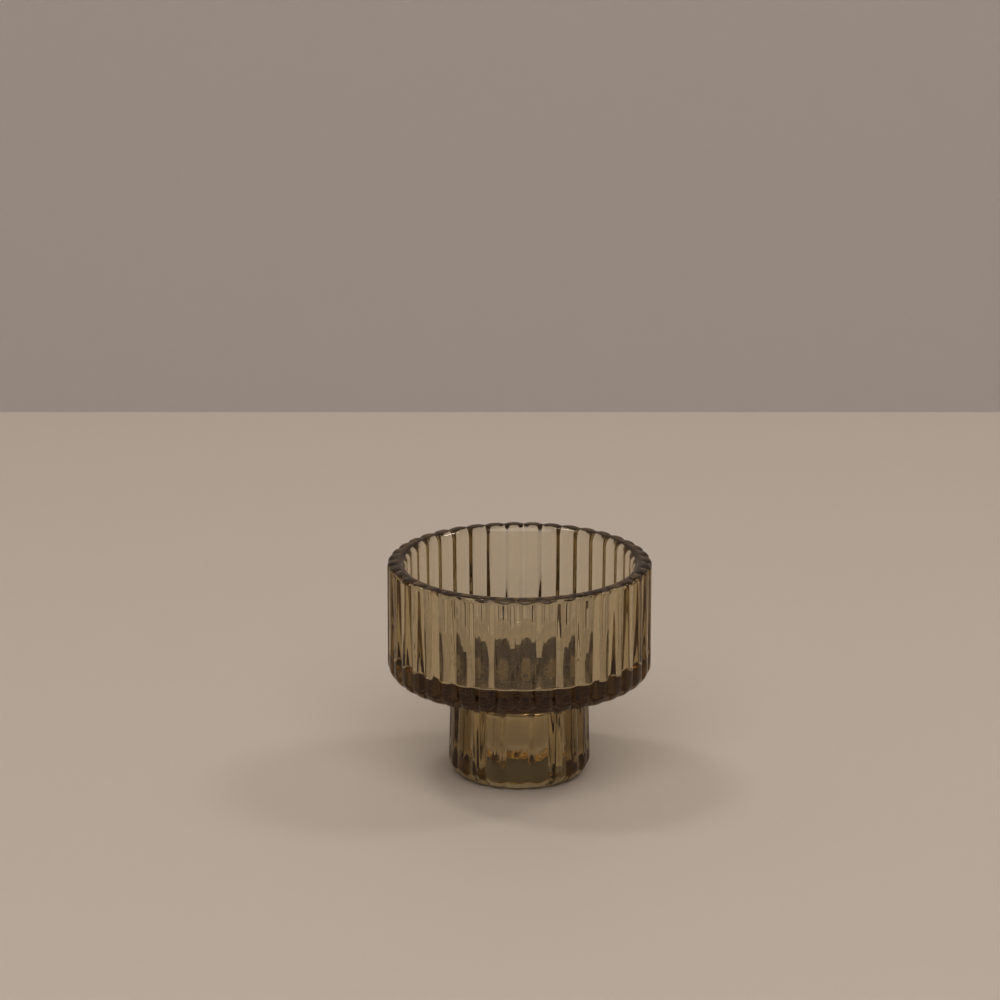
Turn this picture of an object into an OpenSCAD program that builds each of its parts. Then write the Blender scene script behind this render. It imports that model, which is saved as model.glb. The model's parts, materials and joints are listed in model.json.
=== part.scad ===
// Reversible candlestick in reeded pressed glass: a wide cup for a pillar candle or
// a tealight stands on a narrow foot, whose bore takes a dinner candle when the
// holder is turned over. Millimetres, +Z up, origin at the centre of the base.

/* [Cup] */
// Diameter of the cup over its reeds
cup_d = 80; // [60:1:120]
// Depth of the cup from its rim to its floor
cup_depth = 30; // [16:1:80]
// Thickness of the wall, from the inside to the crest of a reed
cup_wall = 5.7; // [4.5:0.1:8]
// Thickness of the glass under the cup's floor
cup_floor = 6.5; // [5.4:0.1:14]
// Rounding of the lower outside edge
cup_heel_r = 5; // [2:0.5:5]
// Rounding on each side of the rim
rim_r = 2.2; // [0.8:0.1:2.2]
// Rounding between the wall and the floor inside
cup_corner_r = 1.5; // [0.5:0.1:4]

/* [Foot] */
// Diameter of the foot over its reeds
foot_d = 43; // [36:0.2:54]
// Height of the foot
foot_h = 30.3; // [22:0.1:60]
// Thickness of the glass above the candle bore
foot_roof = 7.8; // [3:0.1:12]
// Rounding of the lower outside edge
foot_heel_r = 4; // [1:0.5:4]

/* [Candle bore] */
// Diameter of the bore for a dinner candle
bore_d = 23; // [19:0.1:25]
// Rounding of the bore's mouth
bore_lip_r = 1.5; // [0.5:0.1:2]
// Rounding at the bore's inner end
bore_end_r = 2; // [0.5:0.1:4]

/* [Reeds] */
// Number of reeds round the cup
cup_reeds = 40; // [24:1:60]
// Number of reeds round the foot
foot_reeds = 20; // [12:1:32]
// Depth of the valleys between reeds
reed_depth = 1.1; // [0.3:0.1:1.2]

/* [Bond] */
// Thickness of the clear bond between the foot and the cup
bond_t = 0.2; // [0.1:0.05:0.4]
// Distance that the bond stays back from the foot's valleys
bond_inset = 0.5; // [0.2:0.1:2]

/* [Hidden] */
$fn = 96;
smoked_glass = [0.36, 0.34, 0.25, 0.6];
clear_resin = [0.93, 0.92, 0.86, 0.5];

cup_r = cup_d / 2;
cup_bore_r = cup_r - cup_wall;
foot_r = foot_d / 2;
bore_r = bore_d / 2;
bore_depth = foot_h - foot_roof;
cup_base_z = foot_h + bond_t;
cup_floor_z = cup_base_z + cup_floor;
rim_z = cup_floor_z + cup_depth;
bond_r = foot_r - reed_depth - bond_inset;
// The turned outlines stand this far outside the reeds, so that they cut them cleanly
skim = 0.1;
// Extra length that carries one solid through the face of another
through = 1;

// Distance from the axis to a reed's centre line, for n convex reeds of this depth
// whose crests lie at radius r: crest and valley are both on the reed's circle.
function reed_centre(n, r, depth) =
    let (valley = r - depth)
    (r * r - valley * valley) / (2 * (r - valley * cos(180 / n)));

// Glass outside a quarter round of radius r, in the corner between +X and -Y
module corner_off(r) {
    difference() {
        translate([0, -r - through]) square([r + through, r + through]);
        circle(r);
    }
}

// Bar of height h with n round reeds side by side, and crests at radius r. The first
// crest lies at the angle first, from +X.
module reeded_bar(n, r, h, depth, first) {
    centre = reed_centre(n, r, depth);
    translate([0, 0, -through]) linear_extrude(h + 2 * through) {
        circle(centre);
        for (i = [0 : n - 1])
            rotate(first + i * 360 / n) translate([centre, 0]) circle(r - centre);
    }
}

// Half section of the cup, turned about the axis
module cup_section() {
    outer_r = cup_r + skim;
    difference() {
        translate([0, cup_base_z]) square([outer_r, rim_z - cup_base_z]);
        translate([outer_r - cup_heel_r, cup_base_z + cup_heel_r]) corner_off(cup_heel_r);
        translate([outer_r - rim_r, rim_z - rim_r]) mirror([0, 1]) corner_off(rim_r);
        cup_well_section();
    }
}

// Half section of the air inside the cup, with the rounded floor and rim
module cup_well_section() {
    difference() {
        translate([0, cup_floor_z]) square([cup_bore_r, cup_depth + through]);
        translate([cup_bore_r - cup_corner_r, cup_floor_z + cup_corner_r])
            corner_off(cup_corner_r);
    }
    translate([cup_bore_r + rim_r, rim_z - rim_r]) rotate(180) corner_off(rim_r);
}

// Half section of the foot, with its heel
module foot_section() {
    outer_r = foot_r + skim;
    difference() {
        square([outer_r, foot_h]);
        translate([outer_r - foot_heel_r, foot_heel_r]) corner_off(foot_heel_r);
        bore_section();
    }
}

// Half section of the air in the candle bore, with its rounded mouth and end
module bore_section() {
    difference() {
        translate([0, -through]) square([bore_r, bore_depth + through]);
        translate([bore_r - bore_end_r, bore_depth - bore_end_r])
            mirror([0, 1]) corner_off(bore_end_r);
    }
    translate([bore_r + bore_lip_r, bore_lip_r]) mirror([1, 0]) corner_off(bore_lip_r);
}

// Cup: reeded wall, rounded rim and thick floor
module cup() {
    color(smoked_glass) intersection() {
        translate([0, 0, cup_base_z])
            reeded_bar(cup_reeds, cup_r, rim_z - cup_base_z, reed_depth, 180 / cup_reeds);
        rotate_extrude() cup_section();
    }
}

// Foot: reeded outside, with the candle bore open at the base
module foot() {
    color(smoked_glass) intersection() {
        reeded_bar(foot_reeds, foot_r, foot_h, reed_depth, 0);
        rotate_extrude() foot_section();
    }
}

// Bond: film of clear resin between the top of the foot and the underside of the cup
module bond() {
    color(clear_resin) translate([0, 0, foot_h])
        cylinder(h = bond_t, r = bond_r);
}

cup();
foot();
bond();
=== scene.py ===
"""Reversible candlestick in reeded smoked glass: a wide cup on a narrow foot.

Everything is in metres, in the CAD frame: +Z up, origin at the centre of the base.
Each glass piece is one closed surface: a half section, walked from the axis to the
axis, turned about +Z, with round reeds pressed into its outside.
"""

import json
import math

import bpy
import numpy as np
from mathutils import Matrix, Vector


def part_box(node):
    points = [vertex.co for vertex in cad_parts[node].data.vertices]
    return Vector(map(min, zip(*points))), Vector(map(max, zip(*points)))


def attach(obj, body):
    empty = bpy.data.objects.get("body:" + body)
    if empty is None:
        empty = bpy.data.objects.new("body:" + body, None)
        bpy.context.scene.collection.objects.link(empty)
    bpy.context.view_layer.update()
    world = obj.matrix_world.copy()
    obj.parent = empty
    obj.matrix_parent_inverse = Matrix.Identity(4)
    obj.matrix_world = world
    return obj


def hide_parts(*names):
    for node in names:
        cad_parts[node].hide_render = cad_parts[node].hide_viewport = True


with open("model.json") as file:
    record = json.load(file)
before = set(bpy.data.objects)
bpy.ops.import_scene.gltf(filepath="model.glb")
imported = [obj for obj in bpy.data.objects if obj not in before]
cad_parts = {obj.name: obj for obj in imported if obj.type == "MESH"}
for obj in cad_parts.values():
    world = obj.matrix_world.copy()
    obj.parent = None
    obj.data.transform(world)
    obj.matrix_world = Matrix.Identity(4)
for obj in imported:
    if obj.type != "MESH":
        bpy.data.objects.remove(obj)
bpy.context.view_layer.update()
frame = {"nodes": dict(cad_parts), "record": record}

MM = 0.001

# ---------------------------------------------------------------- sizes from the CAD


def crest_radius(node):
    """Largest distance of a CAD node's vertices from the axis: the crest of its reeds."""
    mesh = frame["nodes"][node].data
    at = np.empty(len(mesh.vertices) * 3)
    mesh.vertices.foreach_get("co", at)
    at = at.reshape(-1, 3)
    return float(np.hypot(at[:, 0], at[:, 1]).max())


def mount_radius(name):
    """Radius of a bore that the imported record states."""
    mounts = frame["record"]["mounts"]
    return next(m for m in mounts if m["name"] == name)["dims"]["r_mm"] * MM


CUP_R = crest_radius("cup")
CUP_BASE_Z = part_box("cup")[0][2]
RIM_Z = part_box("cup")[1][2]
WELL_R = mount_radius("cup_well")
FOOT_R = crest_radius("foot")
FOOT_TOP_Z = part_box("foot")[1][2]
BORE_R = mount_radius("candle_bore")

# ---------------------------------------------------------------- reeds
# Number of reeds, and the part of a reed by which the first crest stands off +X
CUP_REEDS, CUP_PHASE = 40, 0.0
FOOT_REEDS, FOOT_PHASE = 20, 0.5
REED_DEPTH = 1.12 * MM
# Where the flank of a reed gets straight, from 0 on its crest to 1 in the valley, and
# how widely the change of slope there and the bottom of the valley are rounded
FLANK_START = 0.40
FLANK_BEND = 0.125
VALLEY_BEND = 0.06
# Change of the reeds' depth: on the cup, from GROW_TOP under the rim and over the next
# GROW_SPAN downwards; on the foot, from its top to its base
CUP_GROW, GROW_TOP, GROW_SPAN = 0.25, 12 * MM, 18 * MM
FOOT_GROW = -0.4
# Share of their depth that the reeds keep on the level top of the rim
RIM_KEEP = 0.35
# The reeds run out where the surface turns this near to straight down
RUN_OUT = 0.1
# Samples round one reed, and how strongly they crowd into the valleys
CUP_SAMPLES, FOOT_SAMPLES, CROWDING = 32, 40, 0.1

# ---------------------------------------------------------------- sections
CUP_FLOOR = 6.5 * MM
CUP_HEEL_R = 5.0 * MM
RIM_OUT_R = 1.6 * MM
RIM_IN_R = 2.6 * MM
WELL_CORNER_R = 1.5 * MM
WELL_DRAFT = 0.6 * MM
FOOT_ROOF = 7.8 * MM
FOOT_HEEL_R = 5.0 * MM
FOOT_FLARE = 0.6 * MM
BORE_LIP_R = 1.5 * MM
BORE_END_R = 2.0 * MM
BORE_DRAFT = 0.8 * MM
# How far each glass piece reaches past the other's face where they are bonded
SEAM_LAP = 0.03 * MM
# Edge of the bonded face, inside the valleys at the top of the foot
JOINT_R = FOOT_R - FOOT_FLARE - REED_DEPTH

# ---------------------------------------------------------------- unevenness
# Slow waves from the hand-fed press, and fine upright ones, 2 to 7 mm long round the
# cup, that the polishing of the mould leaves
SLOW_TURNS, SLOW_RIPPLE = (1, 2, 3, 5, 7, 11), 0.02 * MM
FINE_TURNS, FINE_RIPPLE = (37, 53, 71, 97, 113, 131), 0.012 * MM
CUP_SEED, FOOT_SEED = 3, 8
# The waves die out within this distance of the axis
CALM_R = 4 * MM

# ---------------------------------------------------------------- glass
# Refractive index of soda-lime glass, and how much red, green and blue 1 mm takes away
GLASS_IOR = 1.52
TAKEN_PER_MM = np.array([0.0325, 0.0432, 0.0730])
# Room left above the strongest absorption, so that no channel of the colour is 0
HEADROOM = 1.25

# ---------------------------------------------------------------- camera, stage, light
VIEW_TURN = 2.07
VIEW_PITCH = 17.0
VIEW_DISTANCE = 1.504
LOOK_AT = (-0.0059, 0.0148, 0.0814)
LENS_MM, SENSOR_MM = 178.2, 36

# Half the stage's width, which is also the floor's reach and the backdrop's height
STAGE = 3
BACKDROP_Y = 0.396
BACKDROP_LOW = -1
# Just under the base ring, so that the two faces don't share a plane
FLOOR_Z = -0.02 * MM

LAMP_COLOUR = "fff4ef"
ROOM_LIGHT = 0.22
# Two small lamps behind the holder, which throw its shadow forwards to both sides
KEY_FROM, KEY_POWER = (0.72, 0.25, 1.0), 2.8
SECOND_FROM, SECOND_POWER = (-0.35, 0.23, 1.0), 3.4
SMALL_SIZE, SMALL_DISTANCE = 0.35, 1.6
# One wide lamp above the camera
FRONT_FROM, FRONT_POWER = (0.0, -0.8, 1.0), 22.3
FRONT_SIZE, FRONT_DISTANCE = 2.2, 2.2
# Display gamma, a little under 1 for deeper darks
TONE = 0.82


def collection_add(obj):
    """Links an object to the scene."""
    bpy.context.scene.collection.objects.link(obj)
    return obj


def fade(t):
    """Smooth step from 0 at t = 0 to 1 at t = 1: 3 t^2 - 2 t^3."""
    t = np.clip(t, 0, 1)
    return t * t * (3 - 2 * t)


# ---------------------------------------------------------------- turned surfaces


def line(a, b, n):
    """n points after a on the straight line from a to b."""
    t = np.linspace(0, 1, n + 1)[1:, None]
    return np.array(a) * (1 - t) + np.array(b) * t


def arc(centre, radius, start, end, n):
    """n points on a circle after its start angle, in degrees, up to its end angle."""
    t = np.radians(np.linspace(start, end, n + 1)[1:])
    return np.array(centre) + radius * np.c_[np.cos(t), np.sin(t)]


def outward(section):
    """Unit normals of a half section walked with the glass on its left: the mean of the
    right-hand normals of the two edges that meet at each point."""
    step = np.diff(section, axis=0)
    side = np.c_[step[:, 1], -step[:, 0]] / np.linalg.norm(step, axis=1)[:, None]
    normal = np.r_[side[:1], side[:-1] + side[1:], side[-1:]]
    return normal / np.linalg.norm(normal, axis=1)[:, None]


def reed_angles(reeds, samples):
    """Angles round the axis, closer together in the valleys: within a reed, t = 0 to 1 in
    equal steps gives the place t - CROWDING * sin(2 pi t)."""
    t = np.arange(samples) / samples
    inside = t - CROWDING * np.sin(2 * np.pi * t)
    return ((np.arange(reeds)[:, None] + inside).ravel()) * 2 * np.pi / reeds


def reed_inset(angle, reeds):
    """How far the surface lies inside the crests, from 0 on a crest to 1 in a valley.
    From the middle of a reed outwards, w = 0 to 1, the height falls along a hyperbola
    that is level on the crest and turns into a straight flank at w = FLANK_START. Where
    it meets the next reed's flank, a second hyperbola rounds the valley."""

    def ramp(w):
        d = w - FLANK_START
        return (d + np.sqrt(d * d + FLANK_BEND**2)) / 2

    w = np.abs(np.mod(angle * reeds / (2 * np.pi), 1) * 2 - 1)
    own, next_one = ramp(w) - ramp(0.0), ramp(2 - w) - ramp(0.0)
    low = (own + next_one - np.sqrt((own - next_one) ** 2 + VALLEY_BEND**2)) / 2
    deepest = ramp(1.0) - ramp(0.0) - VALLEY_BEND / 2
    return low / deepest


def ripple(angle, z, seed, turns, size):
    """Unevenness of pressed glass: the mean of one sine wave for each number of turns
    round the axis, each with a slant and a phase from a seeded generator, times size."""
    dice = np.random.default_rng(seed)
    total = np.zeros(np.broadcast(angle, z).shape)
    for count in turns:
        slant, phase = dice.uniform(20, 90), dice.uniform(0, 2 * np.pi)
        total += np.sin(count * angle + slant * z + phase)
    return size * total / len(turns)


def turned(name, section, reach, reeds, phase, samples, seed):
    """A closed surface: the half section turned about +Z. Point (angle, s) lies at
    section(s) less normal(s) * (reach(s) * inset(angle) + ripple), where reach is the
    reeds' depth at that point of the section and the ripple dies out towards the axis.
    The section's ends lie on the axis, as single points."""
    shift = phase * 2 * np.pi / reeds
    angle = reed_angles(reeds, samples)[None, :] - shift
    normal = outward(section)
    ring, ring_normal = section[1:-1], normal[1:-1]
    wave = ripple(angle, ring[:, 1:], seed, SLOW_TURNS, SLOW_RIPPLE)
    wave = wave + ripple(angle, ring[:, 1:], seed + 1, FINE_TURNS, FINE_RIPPLE)
    inset = reach[1:-1, None] * reed_inset(angle + shift, reeds)
    inset = inset + np.clip(ring[:, :1] / CALM_R, 0, 1) * wave
    r = ring[:, :1] - ring_normal[:, :1] * inset
    z = ring[:, 1:] - ring_normal[:, 1:] * inset
    at = np.stack([r * np.cos(angle), r * np.sin(angle), z], axis=-1)
    rows, columns = at.shape[:2]
    points = np.r_[at.reshape(-1, 3), [[0, 0, section[0, 1]]], [[0, 0, section[-1, 1]]]]
    i = np.arange(rows * columns).reshape(rows, columns)
    j = np.roll(i, -1, axis=1)
    quads = np.stack([i[:-1], j[:-1], j[1:], i[1:]], axis=-1).reshape(-1, 4)
    low, high = rows * columns, rows * columns + 1
    first = np.stack([np.full(columns, low), j[0], i[0]], axis=-1)
    last = np.stack([np.full(columns, high), i[-1], j[-1]], axis=-1)
    mesh = bpy.data.meshes.new(name)
    mesh.from_pydata(points.tolist(), [], quads.tolist() + first.tolist() + last.tolist())
    mesh.shade_smooth()
    mesh.update()
    return collection_add(bpy.data.objects.new(name, mesh))


def cup_glass():
    """The cup, walked along its underside, heel, reeded wall, round rim, smooth well that
    narrows a little downwards, and floor. The reeds' depth is REED_DEPTH times 0 on the
    underside, RIM_KEEP on the rim, and 1 to 1 + CUP_GROW down the wall."""
    base, floor = CUP_BASE_Z - SEAM_LAP, CUP_BASE_Z + CUP_FLOOR
    low_r = WELL_R - WELL_DRAFT
    section = np.vstack([
        [[0, base]],
        line((0, base), (JOINT_R, base), 3),
        line((JOINT_R, base), (CUP_R - CUP_HEEL_R, base), 3),
        arc((CUP_R - CUP_HEEL_R, base + CUP_HEEL_R), CUP_HEEL_R, -90, 0, 16),
        line((CUP_R, base + CUP_HEEL_R), (CUP_R, RIM_Z - RIM_OUT_R), 9),
        arc((CUP_R - RIM_OUT_R, RIM_Z - RIM_OUT_R), RIM_OUT_R, 0, 90, 10),
        line((CUP_R - RIM_OUT_R, RIM_Z), (WELL_R + RIM_IN_R, RIM_Z), 1),
        arc((WELL_R + RIM_IN_R, RIM_Z - RIM_IN_R), RIM_IN_R, 90, 180, 10),
        line((WELL_R, RIM_Z - RIM_IN_R), (low_r, floor + WELL_CORNER_R), 8),
        arc((low_r - WELL_CORNER_R, floor + WELL_CORNER_R), WELL_CORNER_R, 0, -90, 8),
        line((low_r - WELL_CORNER_R, floor), (0, floor), 4),
    ])
    up = outward(section)[:, 1]
    outside = (section[:, 0] > WELL_R + RIM_IN_R) | (section[:, 1] < floor - MM)
    rim = 1 - (1 - RIM_KEEP) * fade(up)
    grow = 1 + CUP_GROW * fade((RIM_Z - GROW_TOP - section[:, 1]) / GROW_SPAN)
    reach = REED_DEPTH * outside * fade((up + 1) / RUN_OUT) * rim * grow
    return turned("cup_glass", section, reach, CUP_REEDS, CUP_PHASE, CUP_SAMPLES, CUP_SEED)


def foot_glass():
    """The foot, walked from the candle bore's end along its wall and mouth, the base
    ring, the heel and the reeded wall, which widens a little towards the base, to the
    flat top that meets the cup. The reeds' depth is REED_DEPTH times 0 on the base ring
    and 1 + FOOT_GROW to 1 up the wall."""
    top, roof = CUP_BASE_Z + SEAM_LAP, FOOT_TOP_Z - FOOT_ROOF
    top_r, roof_r = FOOT_R - FOOT_FLARE, BORE_R - BORE_DRAFT
    section = np.vstack([
        [[0, roof]],
        line((0, roof), (roof_r - BORE_END_R, roof), 6),
        arc((roof_r - BORE_END_R, roof - BORE_END_R), BORE_END_R, 90, 0, 8),
        line((roof_r, roof - BORE_END_R), (BORE_R, BORE_LIP_R), 14),
        arc((BORE_R + BORE_LIP_R, BORE_LIP_R), BORE_LIP_R, 180, 270, 8),
        line((BORE_R + BORE_LIP_R, 0), (FOOT_R - FOOT_HEEL_R, 0), 3),
        arc((FOOT_R - FOOT_HEEL_R, FOOT_HEEL_R), FOOT_HEEL_R, -90, 0, 14),
        line((FOOT_R, FOOT_HEEL_R), (top_r, top), 14),
        line((top_r, top), (JOINT_R, top), 1),
        line((JOINT_R, top), (0, top), 4),
    ])
    up = outward(section)[:, 1]
    outside = section[:, 0] > (BORE_R + FOOT_R) / 2
    grow = 1 + FOOT_GROW * (1 - section[:, 1] / top)
    reach = REED_DEPTH * outside * fade((up + 1) / RUN_OUT) * grow
    return turned(
        "foot_glass", section, reach, FOOT_REEDS, FOOT_PHASE, FOOT_SAMPLES, FOOT_SEED
    )


# ---------------------------------------------------------------- materials


def linear(hexcode):
    """sRGB hex to linear RGB."""
    c = np.array([int(hexcode[i : i + 2], 16) for i in (0, 2, 4)]) / 255
    c = np.where(c <= 0.04045, c / 12.92, ((c + 0.055) / 1.055) ** 2.4)
    return tuple(float(v) for v in c)


def material(name):
    """A material with no nodes yet."""
    mat = bpy.data.materials.new(name)
    mat.use_nodes = True
    mat.node_tree.nodes.clear()
    return mat


def add(mat, kind, links=None, **settings):
    """Adds a shader node, sets its properties or plain input values, and links inputs
    from other nodes' sockets."""
    node = mat.node_tree.nodes.new("ShaderNode" + kind)
    for key, value in settings.items():
        if hasattr(node, key):
            setattr(node, key, value)
        else:
            node.inputs[key.replace("_", " ")].default_value = value
    for key, source in (links or {}).items():
        mat.node_tree.links.new(source, node.inputs[key])
    return node


def smoked_glass():
    """Soda-lime glass tinted olive-brown in the melt, pressed and fire-polished. It is
    clear and glossy, with no grain, and its colour comes from inside, so that it gets
    darker and browner where it is thicker."""
    mat = material("smoked_soda_lime_glass")
    surface = add(
        mat, "BsdfPrincipled", Base_Color=(*linear("ffffff"), 1), Roughness=0.0,
        IOR=GLASS_IOR, Transmission_Weight=1.0,
    )
    per_metre = TAKEN_PER_MM / MM
    density = per_metre.max() * HEADROOM
    colour = (*(1 - per_metre / density), 1)
    tint = add(mat, "VolumeAbsorption", Color=colour, Density=density)
    add(mat, "OutputMaterial", {"Surface": surface.outputs[0], "Volume": tint.outputs[0]})
    return mat


def clear_resin():
    """Cured film of clear resin. It wets both pieces and has the glass's own refractive
    index, so it neither bends nor reflects light. An index of 1 gives that here."""
    mat = material("cured_clear_resin")
    surface = add(
        mat, "BsdfPrincipled", Base_Color=(*linear("ffffff"), 1), Roughness=0.0,
        IOR=1.0, Transmission_Weight=1.0,
    )
    add(mat, "OutputMaterial", {"Surface": surface.outputs[0]})
    return mat


def stage_paint(name, hexcode, rough):
    """Matt emulsion paint on a sheet with one painted side. Its back lets light through,
    so that it hides nothing from a camera behind the backdrop or under the floor."""
    mat = material(name)
    paint = add(mat, "BsdfPrincipled", Base_Color=(*linear(hexcode), 1), Roughness=rough)
    clear = add(mat, "BsdfTransparent")
    back = add(mat, "NewGeometry").outputs["Backfacing"]
    side = add(mat, "MixShader", {0: back, 1: paint.outputs[0], 2: clear.outputs[0]})
    add(mat, "OutputMaterial", {"Surface": side.outputs[0]})
    return mat


# ---------------------------------------------------------------- stage and light


def turn(point):
    """A point given in the camera's heading, turned into the CAD frame."""
    a = math.radians(VIEW_TURN)
    x, y, z = point
    return (x * math.cos(a) - y * math.sin(a), x * math.sin(a) + y * math.cos(a), z)


def camera():
    """Long lens, looking down on the holder from its front."""
    data = bpy.data.cameras.new("camera")
    data.lens = LENS_MM
    data.sensor_width = SENSOR_MM
    obj = collection_add(bpy.data.objects.new("camera", data))
    p = math.radians(VIEW_PITCH)
    x, y, z = LOOK_AT
    obj.location = turn((x, y - VIEW_DISTANCE * math.cos(p), z + VIEW_DISTANCE * math.sin(p)))
    obj.rotation_euler = (math.radians(90 - VIEW_PITCH), 0, math.radians(VIEW_TURN))
    bpy.context.scene.camera = obj


def sheet(name, corners, mat):
    """A flat sheet of the stage. Its corners are in the camera's heading, and run
    anticlockwise as seen from its painted side."""
    mesh = bpy.data.meshes.new(name)
    mesh.from_pydata([turn(c) for c in corners], [], [(0, 1, 2, 3)])
    mesh.materials.append(mat)
    collection_add(bpy.data.objects.new(name, mesh))


def stage():
    """Plain pale floor and backdrop."""
    floor = [(-STAGE, -STAGE), (STAGE, -STAGE), (STAGE, STAGE), (-STAGE, STAGE)]
    paint = stage_paint("floor_paint", "dcd6cc", 0.6)
    sheet("floor", [(x, y, FLOOR_Z) for x, y in floor], paint)
    wall = [(-STAGE, BACKDROP_LOW), (STAGE, BACKDROP_LOW), (STAGE, STAGE), (-STAGE, STAGE)]
    paint = stage_paint("backdrop_paint", "cecbc7", 0.8)
    sheet("backdrop", [(x, BACKDROP_Y, z) for x, z in wall], paint)


def lamp(name, direction, distance, size, power):
    """Round area lamp that faces the holder from a direction in the camera's heading."""
    data = bpy.data.lights.new(name, "AREA")
    data.shape = "DISK"
    data.size = size
    data.energy = power
    data.color = linear(LAMP_COLOUR)
    obj = collection_add(bpy.data.objects.new(name, data))
    d = np.array(direction, float)
    d /= np.linalg.norm(d)
    obj.location = turn(tuple(d * distance))
    obj.rotation_euler = Vector(turn(tuple(d))).to_track_quat("Z", "Y").to_euler()


def light():
    """Three soft lamps, and a little light from all round."""
    lamp("key", KEY_FROM, SMALL_DISTANCE, SMALL_SIZE, KEY_POWER)
    lamp("second", SECOND_FROM, SMALL_DISTANCE, SMALL_SIZE, SECOND_POWER)
    lamp("front", FRONT_FROM, FRONT_DISTANCE, FRONT_SIZE, FRONT_POWER)
    world = bpy.data.worlds.new("room")
    world.use_nodes = True
    room = world.node_tree.nodes["Background"]
    room.inputs["Color"].default_value = (*linear(LAMP_COLOUR), 1)
    room.inputs["Strength"].default_value = ROOM_LIGHT
    bpy.context.scene.world = world


def display():
    """Enough bounces for light to get through the glass, and the display's tone."""
    scene = bpy.context.scene
    scene.cycles.max_bounces = 32
    scene.cycles.transmission_bounces = 32
    scene.cycles.glossy_bounces = 16
    scene.view_settings.view_transform = "Standard"
    scene.view_settings.gamma = TONE


# ---------------------------------------------------------------- assembly


def install(piece, node, mat):
    """Gives a piece its material and makes it stand for a CAD node."""
    piece.data.materials.append(mat)
    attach(piece, "root")
    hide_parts(node)


camera()
stage()
light()
display()
glass = smoked_glass()
install(cup_glass(), "cup", glass)
install(foot_glass(), "foot", glass)
frame["nodes"]["bond"].material_slots[0].material = clear_resin()
